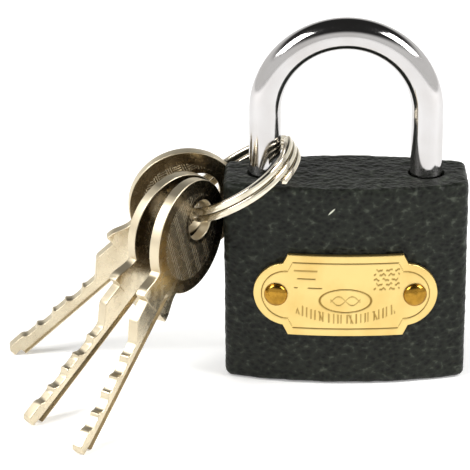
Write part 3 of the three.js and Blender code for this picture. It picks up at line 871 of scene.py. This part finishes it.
@dataclass
class Nameplate:
    """The brass plate: a rectangle with slanted shoulders and a round ear at each end, bent to the front."""

    body: LockBody
    half_width: float = 8.95
    half_height: float = 6.8
    shoulder_x: float = 9.75
    shoulder_z: float = 5.2
    end_x: float = 14.3
    gap: float = 0.15
    thickness: float = 0.7
    rim: float = 0.16
    depth: float = 0.09
    stroke_half: float = 0.12
    border_inset: float = 1.25
    border_meets: float = 0.4
    oval: tuple[float, float] = (4.0, 1.95)
    oval_below: float = 0.75
    lozenge: tuple[float, float] = (2.1, 0.75)
    chain_half: float = 2.35
    rules: tuple[Triple, ...] = ((4.2, -8, -4.3), (2.85, -7.5, -4.6), (1.35, -5.8, -3.6), (1.35, -8, -7.4))
    square: tuple[float, ...] = (4.4, 8.4, 1.0, 4.6)
    row_pitch: float = 0.8
    tick_pitch: float = 1.42
    tick_centre: float = 14.5
    tick_radius: float = 18.35
    tick_half: float = 0.8
    tick_spread: float = 0.42

    @property
    def ear(self) -> float:
        """Radius of the round ears, through the shoulders and the end."""
        reach = self.end_x - self.shoulder_x
        return (reach**2 + self.shoulder_z**2) / (2 * reach)

    def top_edge(self, x: np.ndarray, inset: float) -> np.ndarray:
        """Half the plate's height at each x: the greater of the rectangle, with slanted shoulders, and the ear.

        Args:
            x: places along the plate.
            inset: how far inside the outline.

        Returns:
            The half height, zero past the end.
        """
        away = np.abs(x)
        slant = (self.half_height - self.shoulder_z) / (self.shoulder_x - self.half_width)
        shoulder = self.half_height - slant * (away - self.half_width) - inset * math.hypot(1, slant)
        rectangle = np.minimum(self.half_height - inset, shoulder)
        centre = self.end_x - self.ear
        round_end = np.sqrt(np.maximum((self.ear - inset) ** 2 - (away - centre) ** 2, 0))
        ear = np.where(away > centre, round_end, 0)
        return np.maximum(np.where(away < self.shoulder_x, rectangle, 0), ear)

    def stroke(self, distance: np.ndarray, half: float) -> np.ndarray:
        """How deep a groove is, from 0 to 1, at a distance from its middle: a flat floor and sloping sides."""
        return np.clip(1.6 * (1 - np.abs(distance) / half), 0, 1)

    def border(self, x: np.ndarray, z: np.ndarray) -> np.ndarray:
        """A line inside the outline: along the rectangle's edge, and round each ear past the shoulder.

        Args:
            x: places along the plate.
            z: heights over its middle.

        Returns:
            Its depth, from 0 to 1.
        """
        meet = self.shoulder_x - self.border_meets
        along = self.stroke(self.top_edge(x, self.border_inset) - np.abs(z), self.stroke_half)
        from_ear = np.hypot(np.abs(x) - self.end_x + self.ear, z) - self.ear + self.border_inset
        around = self.stroke(from_ear, self.stroke_half)
        return np.maximum(along * (np.abs(x) < meet), around * (np.abs(x) > meet))

    def emblem(self, x: np.ndarray, z: np.ndarray) -> np.ndarray:
        """An oval with a chain of lozenges in it: the chain follows |z| = high |sin(pi x / long)|.

        Args:
            x: places along the plate.
            z: heights over its middle.

        Returns:
            Its depth, from 0 to 1.
        """
        wide, tall = self.oval
        level = z + self.oval_below
        oval = self.stroke((np.hypot(x / wide, level / tall) - 1) * tall, self.stroke_half)
        long, high = self.lozenge
        off = np.abs(np.abs(level) - high * np.abs(np.sin(x * math.pi / long)))
        chain = self.stroke(off, 0.13) * (np.abs(x) < self.chain_half)
        return np.maximum(oval, 0.8 * chain)

    def lines(self, x: np.ndarray, z: np.ndarray) -> np.ndarray:
        """Rules on the left, and a square of wavering broken rows on the right.

        Args:
            x: places along the plate.
            z: heights over its middle.

        Returns:
            Their depth, from 0 to 1.
        """
        deep = np.zeros_like(x)
        for level, start, stop in self.rules:
            deep = np.maximum(deep, self.stroke(z - level, self.stroke_half) * (x > start) * (x < stop))
        left, right, low, high = self.square
        inside = (x > left) * (x < right) * (z > low) * (z < high)
        level = z + 0.12 * np.sin(5.1 * x) + 0.08 * np.sin(11.3 * x + 1)
        rows = self.stroke(level % self.row_pitch - self.row_pitch / 2, 0.2)
        broken = np.sin(4.3 * x + 2.1 * np.floor(level / self.row_pitch)) > -0.55
        return np.maximum(deep, 0.9 * rows * broken * inside)

    def ticks(self, x: np.ndarray, z: np.ndarray) -> np.ndarray:
        """Upright ticks in pairs along an arc under the oval, with a slanted one in every third place.

        Args:
            x: places along the plate.
            z: heights over its middle.

        Returns:
            Their depth, from 0 to 1.
        """
        far = np.hypot(x, z - self.tick_centre)
        angle = np.arctan2(x, self.tick_centre - z)
        step = angle * far / self.tick_pitch
        cell = np.floor(step)
        place = step - cell
        first = self.stroke(place - 0.2, 0.12)
        second = self.stroke(place - 0.62 - 0.12 * np.sin(cell * 2.4), 0.1)
        upright = np.maximum(first, second)
        slant = self.stroke(place - 0.2 - 0.3 * (far - 17.5) - 0.15 * np.cos(cell), 0.12)
        deep = np.where(cell % 3 == 0, np.maximum(upright, slant), upright)
        return deep * (np.abs(far - self.tick_radius) < self.tick_half) * (np.abs(angle) < self.tick_spread)

    def struck(self, x: np.ndarray, z: np.ndarray) -> np.ndarray:
        """How deep each point is struck, from 0 to 1. The marks are generic and spell nothing.

        Args:
            x: places along the plate.
            z: heights over its middle.

        Returns:
            The depth.
        """
        marks = [self.border(x, z), self.emblem(x, z), self.lines(x, z), 0.85 * self.ticks(x, z)]
        return np.maximum.reduce(marks)

    def columns(self) -> np.ndarray:
        """Where the plate's columns stand, closer together near the ends and at the shoulders.

        Returns:
            Their X, in order.
        """
        inner = np.linspace(0, self.half_width, 72)
        shoulder = np.linspace(self.half_width, self.shoulder_x, 8)[1:]
        ease = np.linspace(0, math.pi / 2, 34)[1:]
        ear = self.shoulder_x + (self.end_x - self.shoulder_x) * np.sin(ease)
        right = np.concatenate([inner, shoulder, ear])
        return np.concatenate([-right[:0:-1], right])

    def build(self) -> None:
        """Front and back follow arcs about the front's centre, y = cy - sqrt(r^2 - x^2); the rim joins them.

        Each column is one closed ring of points up the front, over the rounded rim, down the back and round
        again. The two end points aren't struck.
        """
        x = self.columns()
        span = self.top_edge(x, 0.0)
        inner = np.maximum(span - self.rim, 0)
        share = np.linspace(-1, 1, 96)
        turn = np.linspace(0, math.pi / 2, 4)[1:]
        near = self.rim * (1 - np.cos(turn))
        upper = inner[:, None] + np.minimum(self.rim, span)[:, None] * np.sin(turn)
        front = inner[:, None] * share
        z = np.concatenate([front, upper, span[:, None], -span[:, None], -upper[:, ::-1]], axis=1)
        sink = np.concatenate([0 * share, near, [self.thickness, self.thickness], near[::-1]])
        wide = np.broadcast_to(x[:, None], z.shape)
        on_front = np.arange(z.shape[1]) < share.size
        depth = self.struck(wide, z) * on_front * (span[:, None] > 0.4)
        outer = self.body.bulge + self.gap + self.thickness
        radius = outer - sink[None, :] - self.depth * depth
        y = self.body.bulge_y - np.sqrt(radius**2 - wide**2)
        grid = rings(np.stack([wide, y, z + self.body.plate_z], axis=-1))
        values = {"struck": np.pad(depth, ((1, 1), (0, 0)))}
        piece = mesh_object("struck_nameplate", grid, values, crease=40.0)
        finish_piece(piece, EngravedBrass().material(), "lock_body", ("nameplate",))


@dataclass
class Rivets:
    """The two domed brass rivets that hold the plate."""

    plate: Nameplate
    head: float = 1.85
    dome: float = 0.9
    crown: float = 0.05
    under: float = 0.1
    shank: float = 1.0
    grip: float = 3.0

    def build(self) -> None:
        """Each head is a quarter ellipse turned about its axis: r = R cos a, height = dome sin a."""
        seat = 2 * self.plate.gap + self.plate.thickness
        turn = np.linspace(0, math.pi / 2, 14)[:-1]
        head = [(self.head * math.cos(a), seat + self.dome * math.sin(a)) for a in turn]
        stem = [(self.shank, -self.grip), (self.shank, seat), (self.head - self.under, seat)]
        profile = [*stem, *head, (self.crown, seat + self.dome)]
        body = self.plate.body
        for side in Side:
            name = f"rivet_{side.name.lower()}"
            grid = lathe(profile, 48, body.front_place(side.value * body.rivet_x))
            piece = mesh_object(f"domed_{name}", grid)
            finish_piece(piece, WORN_BRASS.material(), "lock_body", (name,))


@dataclass
class SplitRing:
    """The ring of flat spring wire, wound twice round, which leans on the heel leg and over the body's side."""

    body: LockBody
    leg_radius: float
    tilt: float = 30.5
    radial: float = 1.2
    axial: float = 1.15
    coil_gap: float = 0.1
    past_side: float = 5.83
    past_leg: float = 2.4
    above: float = 3.92
    joggle: float = 60.0
    joggle_at: float = -20.0
    overlap: float = 27.0
    tip: float = 0.55
    squareness: float = 0.55

    @property
    def outer(self) -> float:
        """The ring's outside radius, which spans from past the body's side to past the leg."""
        reach = self.past_side + self.body.leg_inset + self.leg_radius + self.past_leg
        return reach / 2 / math.cos(math.radians(self.tilt))

    @property
    def wire_radius(self) -> float:
        """From the ring's centre to the middle of its wire."""
        return self.outer - self.radial / 2

    @property
    def place(self) -> Matrix:
        """The ring's own axes: X slopes up towards the leg, and the centre follows from the highest point.

        Returns:
            Its place, in millimetres.
        """
        turn = Matrix.Rotation(-math.radians(self.tilt), 4, "Y")
        highest = Matrix.Translation((self.leg_radius + self.past_leg - self.body.leg_x, 0, self.above))
        return highest @ turn @ Matrix.Translation((-self.outer, 0, 0))

    def coil_height(self, angle: np.ndarray) -> np.ndarray:
        """How far along the ring's axis the wire is: it steps from one coil to the next across the joggle.

        Args:
            angle: how far round the wire, in degrees.

        Returns:
            One height per angle.
        """
        turns = np.round(angle / 360)
        share = np.clip((angle - turns * 360 + self.joggle) / (2 * self.joggle), 0, 1)
        eased = share * share * (3 - 2 * share)
        return (self.axial + self.coil_gap) * (turns + eased - 1.5)

    def squared(self, wave: np.ndarray) -> np.ndarray:
        """Draws a sine or cosine out towards a square, as its sign times its size to a power."""
        return np.sign(wave) * np.abs(wave) ** self.squareness

    def build(self) -> None:
        """Carries a rounded square along two turns: squared cos a and sin a, times the wire's half sizes.

        The wire's last half millimetre at each end shrinks as a quarter circle, which rounds it off.
        """
        sweep = 720 + 2 * self.overlap
        angle = np.linspace(-self.overlap, sweep - self.overlap, 420)
        arc = np.radians(angle + self.overlap) * self.wire_radius
        nearest = np.minimum(arc, arc[-1] - arc)
        scale = np.sqrt(np.clip(1 - np.clip(1 - nearest / self.tip, 0, 1) ** 2, 0.01, 1))[:, None]
        around = np.linspace(0, 2 * math.pi, 24, endpoint=False)
        turn = np.radians(angle + self.joggle_at)
        radius = self.wire_radius + scale * (self.radial / 2 * self.squared(np.cos(around)))
        x = radius * np.cos(turn)[:, None]
        y = radius * np.sin(turn)[:, None]
        z = self.coil_height(angle)[:, None] + scale * (self.axial / 2 * self.squared(np.sin(around)))
        grid = placed(rings(np.stack([x, y, z], axis=-1)), self.place)
        piece = mesh_object("wound_split_ring", grid, crease=60.0)
        finish_piece(piece, RING_NICKEL.material(), "ring_body", ("split_ring",))


@dataclass
class Keys:
    """Three alike keys: an oval bow, a neck with stops, and a grooved blade with five cuts and a stepped tip.

    The groove runs out as pairs of a distance along the key and a height over its face. A key hangs by its
    place round the ring, its compass heading and its lean from upright, in degrees.
    """

    ring: SplitRing
    thickness: float = 1.7
    bow_long: float = 9.1
    bow_wide: float = 8.9
    bow_centre: float = 3.1
    hole: float = 3.1
    hang: float = 0.75
    face_at: float = 0.85
    neck_half: float = 3.4
    neck_from: float = 12.6
    stop_from: float = 15.0
    stop: float = 16.2
    stop_half: float = 4.3
    blade: float = 24.9
    back: float = 1.9
    front: float = 2.8
    groove_width: float = 0.9
    groove_depth: float = 0.5
    groove_from: float = 12.8
    groove_full: float = 1.6
    groove_ramp: tuple[tuple[float, float], ...] = ((0.0, 0.02), (0.8, -0.32), (1.7, -0.499))
    groove_top: float = 0.6
    land: float = 0.2
    cut_flat: float = 2.0
    tip_step: float = 1.3
    tip_front: float = 0.9
    tip_radius: float = 0.5
    first_cut: float = 10.4
    pitch: float = 3.2
    pins: int = 4
    soft: float = 0.16
    floors: tuple[float, ...] = (0.2, -0.1, 0.4, 0.0, 0.3)
    hanging: tuple[Triple, ...] = ((-145, -123, -2), (-174, -138.5, -3), (141, -174.5, -5))

    @property
    def tip(self) -> float:
        """From the hole's centre to the tip."""
        return self.stop + self.blade

    @property
    def groove_inner(self) -> float:
        """The groove's wall nearer the cut edge, from the key's axis."""
        return self.back - self.land - self.groove_width

    def cut_edge(self) -> list[tuple[float, float]]:
        """The cuts' flat floors with 45-degree ramps between them, from the stops to the tip.

        Returns:
            Points as (along the key, towards the straight edge).
        """
        points = []
        count = len(self.floors)
        place = [self.stop + self.first_cut + (i - count + self.pins) * self.pitch for i in range(count + 1)]
        for i, depth in enumerate(self.floors):
            start = place[i] - self.cut_flat / 2
            end = start + self.cut_flat
            if i == 0:
                points.append((start - self.front + depth, -self.front))
            points += [(start, -depth), (end, -depth)]
            following = self.floors[i + 1] if i + 1 < count else depth
            crest = (end + place[i + 1] - self.cut_flat / 2 - depth + following) / 2
            points.append((crest, -depth - (crest - end)))
        return points

    def outline(self) -> np.ndarray:
        """The key's edge: an ellipse for the bow, then straight runs with softened corners.

        A corner P with its neighbours' directions becomes (1-t)^2 A + 2t(1-t) P + t^2 B, where A and B are a
        corner's own reach away from P along its two sides. Each corner below is its place and that reach.

        Returns:
            Points as (n, 2), anticlockwise from the neck on the straight edge's side.
        """
        meet = self.bow_centre + self.bow_long * math.sqrt(1 - (self.neck_half / self.bow_wide) ** 2)
        start = math.acos((meet - self.bow_centre) / self.bow_long)
        turn = np.linspace(start, 2 * math.pi - start, 120)
        bow = np.column_stack([self.bow_centre + self.bow_long * np.cos(turn), self.bow_wide * np.sin(turn)])
        corners = [
            (self.neck_from, -self.neck_half, 1.4),
            (self.stop_from, -self.stop_half, 0.5),
            (self.stop, -self.stop_half, 0.25),
            (self.stop, -self.front, 0.2),
            *[(x, y, 0.55) for x, y in self.cut_edge()],
            (self.tip - self.tip_radius, -self.tip_front, 0.2),
            (self.tip, -self.tip_front + self.tip_radius, 0.2),
            (self.tip, self.groove_inner, 0.2),
            (self.tip - self.tip_step, self.groove_inner, 0.15),
            (self.tip - self.tip_step, self.back, 0.4),
            (self.stop, self.back, 0.2),
            (self.stop, self.stop_half, 0.25),
            (self.stop_from, self.stop_half, 0.5),
            (self.neck_from, self.neck_half, 1.4),
        ]
        table = np.array(corners)
        middle, reach = table[:, :2], table[:, 2:]
        before = np.vstack([bow[-1], middle[:-1]]) - middle
        after = np.vstack([middle[1:], bow[0]]) - middle
        length_before = np.linalg.norm(before, axis=1, keepdims=True)
        length_after = np.linalg.norm(after, axis=1, keepdims=True)
        near = middle + before / length_before * np.minimum(reach, 0.45 * length_before)
        far = middle + after / length_after * np.minimum(reach, 0.45 * length_after)
        t = np.linspace(0, 1, 5)[None, :, None]
        curves = (1 - t) ** 2 * near[:, None] + 2 * t * (1 - t) * middle[:, None] + t**2 * far[:, None]
        return np.vstack([bow, curves.reshape(-1, 2)])

    def wall(self, loop: np.ndarray) -> np.ndarray:
        """The edge of the key along a loop: its corners rounded, from one face to the other.

        A ring is the loop moved into the metal by soft (1 - sin a), soft (1 - cos a) short of the face.

        Args:
            loop: points with the metal on their left, as (n, 2).

        Returns:
            Points as (rings, n, 3).
        """
        ahead = np.roll(loop, -1, axis=0) - np.roll(loop, 1, axis=0)
        inward = np.column_stack([-ahead[:, 1], ahead[:, 0]])
        inward /= np.linalg.norm(inward, axis=1, keepdims=True)
        turn = np.linspace(0, math.pi / 2, 4)
        step = self.soft * (1 - np.sin(turn))
        level = self.thickness / 2 - self.soft * (1 - np.cos(turn))
        steps = np.concatenate([step, step[::-1]])
        levels = np.concatenate([level, -level[::-1]])
        flat = loop[None] + inward[None] * steps[:, None, None]
        return np.dstack([flat, np.broadcast_to(levels[:, None], flat.shape[:2])])

    def blank(self, name: str) -> bpy.types.Object:
        """The key in its own axes, from its two walls and the flat faces filled in between them.

        Args:
            name: the object's name.

        Returns:
            The object, still at the origin and in the key's own axes.
        """
        turn = np.linspace(0, -2 * math.pi, 64, endpoint=False)
        loops = [self.outline(), self.hole * np.column_stack([np.cos(turn), np.sin(turn)])]
        shell = bmesh.new()
        for loop in loops:
            grid = self.wall(loop) * MM
            count, around = grid.shape[:2]
            verts = np.array([shell.verts.new(p) for p in grid.reshape(-1, 3).tolist()], dtype=object)
            for quad in quads_of(count, around):
                shell.faces.new(verts[quad].tolist())
        open_edges = [edge for edge in shell.edges if edge.is_boundary]
        for sign in (1, -1):
            level = [edge for edge in open_edges if edge.verts[0].co.z * sign > 0]
            bmesh.ops.triangle_fill(shell, use_beauty=True, use_dissolve=False, edges=level)
        bmesh.ops.recalc_face_normals(shell, faces=shell.faces)
        mesh = bpy.data.meshes.new(name)
        shell.to_mesh(mesh)
        shell.free()
        key = linked(name, mesh)
        low, high, top = self.groove_inner, self.back - self.land, self.groove_top
        floor = self.thickness / 2 - self.groove_depth
        run = block(self.groove_from + self.groove_full, self.tip + 1, low, high, floor, self.thickness)
        rows = [[(x, low, h), (x, high, h), (x, high, top), (x, low, top)] for x, h in self.groove_ramp]
        slope = rings(np.array(rows) + np.array([self.groove_from, 0, self.thickness / 2]))
        carve(key, [run, slope], 28.0)
        weighted = key.modifiers.new("flat faces", "WEIGHTED_NORMAL")
        weighted.keep_sharp = True
        weighted.weight = 100
        return key

    def place(self, around: float, heading: float, lean: float) -> Matrix:
        """Hangs a key on the ring by its hole and leans it down until its tip's lower corner is on the table.

        Args:
            around: the key's place round the ring, in degrees.
            heading: the compass heading of its tip, in degrees.
            lean: how far it leans from upright, in degrees.

        Returns:
            The key's place, in millimetres.
        """
        at = math.radians(around)
        spoke = np.array([math.cos(at), math.sin(at), 0.0]) * self.ring.wire_radius
        wire = placed(spoke, self.ring.place)
        reach = self.tip - self.tip_step + self.hang
        drop = wire[2] + self.ring.body.height - self.thickness / 2 * abs(math.sin(math.radians(lean)))
        slope = math.asin(drop / math.hypot(reach, self.back)) - math.atan2(self.back, reach)
        level = np.array([math.cos(math.radians(heading)), math.sin(math.radians(heading)), 0.0])
        along = level * math.cos(slope) - np.array([0, 0, math.sin(slope)])
        across = np.cross(level, along)
        across /= np.linalg.norm(across)
        tipped = Matrix.Rotation(math.radians(lean), 3, along.tolist())
        face = np.array(tipped) @ across
        edge = np.cross(face, along)
        centre = wire + along * self.hang + face * (self.face_at - self.thickness / 2)
        rows = np.column_stack([along, edge, face, centre])
        return Matrix(np.vstack([rows, [0, 0, 0, 1]]).tolist())

    def build(self) -> None:
        """Makes each key in its own axes, maps it flat in millimetres, and then puts it in its place."""
        finish = KeyNickel().material(self.bow_centre)
        for number, pose in enumerate(self.hanging, 1):
            key = self.blank(f"cut_key_{number}")
            mesh = key.data
            own = read(mesh.vertices, "co", 3).astype(float) / MM
            corners = read(mesh.loops, "vertex_index", 1, np.int32)[:, 0]
            layer = mesh.uv_layers.new(name="UVMap")
            layer.data.foreach_set("uv", own[corners][:, :2].astype(np.float32).ravel())
            level = np.abs(read(mesh.polygon_normals, "vector", 3)[:, 2]) > 0.99
            mesh.attributes.new("flat", "FLOAT", "FACE").data.foreach_set("value", level.astype(np.float32))
            there = placed(own, self.place(*pose)) * MM
            mesh.vertices.foreach_set("co", there.astype(np.float32).ravel())
            mesh.update()
            finish_piece(key, finish, f"key_{number}_body", (f"key_{number}",))


@dataclass
class Works:
    """The small pieces inside the body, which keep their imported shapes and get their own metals."""

    brass: tuple[str, ...] = ("plug",)
    steel: tuple[str, ...] = ("latch", "cam", "heel_pin", "plug_retainer")
    wire: tuple[str, ...] = ("shackle_spring", "latch_spring")
    stacks: int = 4

    def dress(self, nodes: dict[str, bpy.types.Object]) -> None:
        """Gives every carried-over node its metal.

        Args:
            nodes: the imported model's objects by name.
        """
        each = range(1, self.stacks + 1)
        pins, plugs = [f"key_pin_{i}" for i in each], [f"chamber_plug_{i}" for i in each]
        drivers, springs = [f"driver_pin_{i}" for i in each], [f"pin_spring_{i}" for i in each]
        groups = [
            (TURNED_BRASS, [*self.brass, *pins, *plugs]),
            (STEEL, [*self.steel, *drivers]),
            (SPRING_WIRE, [*self.wire, *springs]),
        ]
        for finish, names in groups:
            material = finish.material()
            for name in names:
                for place in nodes[name].material_slots:
                    place.material = material
                LOG.info("%s: %s", name, finish.name)


# ---------------------------------------------------------------- the studio


@dataclass
class Studio:
    """A plain pale table in soft, even light, and the camera. A box is its name, its place and its watts."""

    table_z: float
    table_half: float = 1500.0
    table_gap: float = 0.02
    box_side: float = 300.0
    boxes: tuple[tuple[str, Triple, float], ...] = (
        ("left box", (-420.0, -160.0, 420.0), 3.6),
        ("right box", (430.0, -120.0, 400.0), 3.3),
    )
    wall: float = 0.95
    ceiling: float = 0.03
    backdrop: float = 1.25
    camera_at: Triple = (-6.139, -355.98, 140.51)
    pitch: float = 66.983
    yaw: float = 1.798
    roll: float = -0.584
    lens: float = 188.2

    def laminate(self) -> bpy.types.Material:
        """White melamine laminate on board: a matt white that glows faintly, more so far away.

        The glow keeps the table as pale as the wall behind it, so that no edge shows between them.

        Returns:
            The laminate.
        """
        material, add = new_material("white laminate")
        place = add(COORDS, output="Object")
        grain = add(NOISE, {"Vector": place, "Scale": 1 / (30 * MM), "Detail": 2.0})
        ends = {"Factor": grain, "A": linear("fbfbfa"), "B": linear("f6f6f5")}
        colour = add(MIX, ends, "Result", data_type="RGBA")
        far = add(VECTOR_MATH, {0: place}, "Value", operation="LENGTH")
        span = {"From Min": 0.1, "From Max": 0.6, "To Min": 0.25, "To Max": 0.6}
        glow = add(RAMP, {"Value": far, **span}, interpolation_type="SMOOTHSTEP")
        shaded(material, Roughness=0.6, Specular_IOR_Level=0.3, Emission_Color=linear("ffffff"))
        return shaded(material, Base_Color=colour, Emission_Strength=glow)

    def table(self) -> None:
        """A wide pale sheet, a hair under the lock."""
        corners = np.array([[-1, -1], [1, -1], [1, 1], [-1, 1]]) * self.table_half
        points = np.column_stack([corners, np.full(4, self.table_z - self.table_gap)]) * MM
        mesh = bpy.data.meshes.new("table")
        mesh.from_pydata(points.tolist(), [], [(0, 1, 2, 3)])
        mesh.materials.append(self.laminate())
        linked("table", mesh)

    def room(self) -> None:
        """Pale walls and a darker ceiling for the metals to reflect; the view itself sees a plain pale wall."""
        world = bpy.data.worlds.new("room")
        bpy.context.scene.world = world
        world.use_nodes = True
        add = partial(add_node, world.node_tree)
        height = add(SEPARATE, {"Vector": add(COORDS, output="Generated")}, "Z")
        span = {"From Min": 0.3, "From Max": 0.62, "To Min": self.wall, "To Max": self.ceiling}
        dim = add(RAMP, {"Value": height, **span}, interpolation_type="SMOOTHSTEP")
        seen = add("ShaderNodeLightPath", output="Is Camera Ray")
        level = add(MIX, {"Factor": seen, "A": dim, "B": self.backdrop}, "Result", data_type="FLOAT")
        inputs = {"Color": linear("fdfdfb"), "Strength": level}
        feed(world.node_tree, world.node_tree.nodes["Background"], inputs)

    def lamp(self, name: str, at: Triple, watts: float) -> None:
        """A square soft box that faces the lock.

        Args:
            name: the lamp's name.
            at: its place in millimetres.
            watts: its power.
        """
        data = bpy.data.lights.new(name, "AREA")
        data.size = self.box_side * MM
        data.energy = watts
        lamp = linked(name, data)
        lamp.location = [c * MM for c in at]
        lamp.rotation_euler = lamp.location.to_track_quat("Z", "Y").to_euler()

    def camera(self) -> None:
        """Looks down at the lock from the front with a long lens."""
        data = bpy.data.cameras.new("camera")
        data.lens = self.lens
        data.sensor_width = 36.0
        data.clip_start = 0.01
        data.clip_end = 10.0
        camera = linked("camera", data)
        yaw = Matrix.Rotation(math.radians(self.yaw), 4, "Z")
        pitch = Matrix.Rotation(math.radians(self.pitch), 4, "X")
        roll = Matrix.Rotation(math.radians(self.roll), 4, "Z")
        camera.matrix_world = Matrix.Translation([c * MM for c in self.camera_at]) @ yaw @ pitch @ roll
        bpy.context.scene.camera = camera

    def build(self) -> None:
        """Sets the table, the room, the soft boxes and the camera."""
        self.table()
        self.room()
        for box in self.boxes:
            self.lamp(*box)
        self.camera()
        bpy.context.scene.view_settings.view_transform = "Standard"


def span_of(node: str) -> np.ndarray:
    """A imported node's lowest and highest corners at rest, in millimetres to the nearest micrometre."""
    return np.round(np.array([list(corner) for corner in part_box(node)]) / MM, 3)


def main() -> None:
    """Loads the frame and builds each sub-assembly round it."""
    logging.basicConfig(level=logging.INFO, format="%(message)s")
    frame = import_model()
    width, depth, height = np.ptp(span_of("body"), axis=0).tolist()
    (_, _, heel_end), (_, bar, _) = span_of("shackle").tolist()
    plate_z = float(span_of("nameplate")[:, 2].mean())
    body = LockBody(width, depth, height, plate_z)
    plate = Nameplate(body)
    ring = SplitRing(body, bar)
    body.build()
    Shackle(body.leg_x, bar, heel_end).build()
    plate.build()
    Rivets(plate).build()
    ring.build()
    Keys(ring).build()
    Works().dress(frame["nodes"])
    Studio(-height).build()


if __name__ == "__main__":
    main()
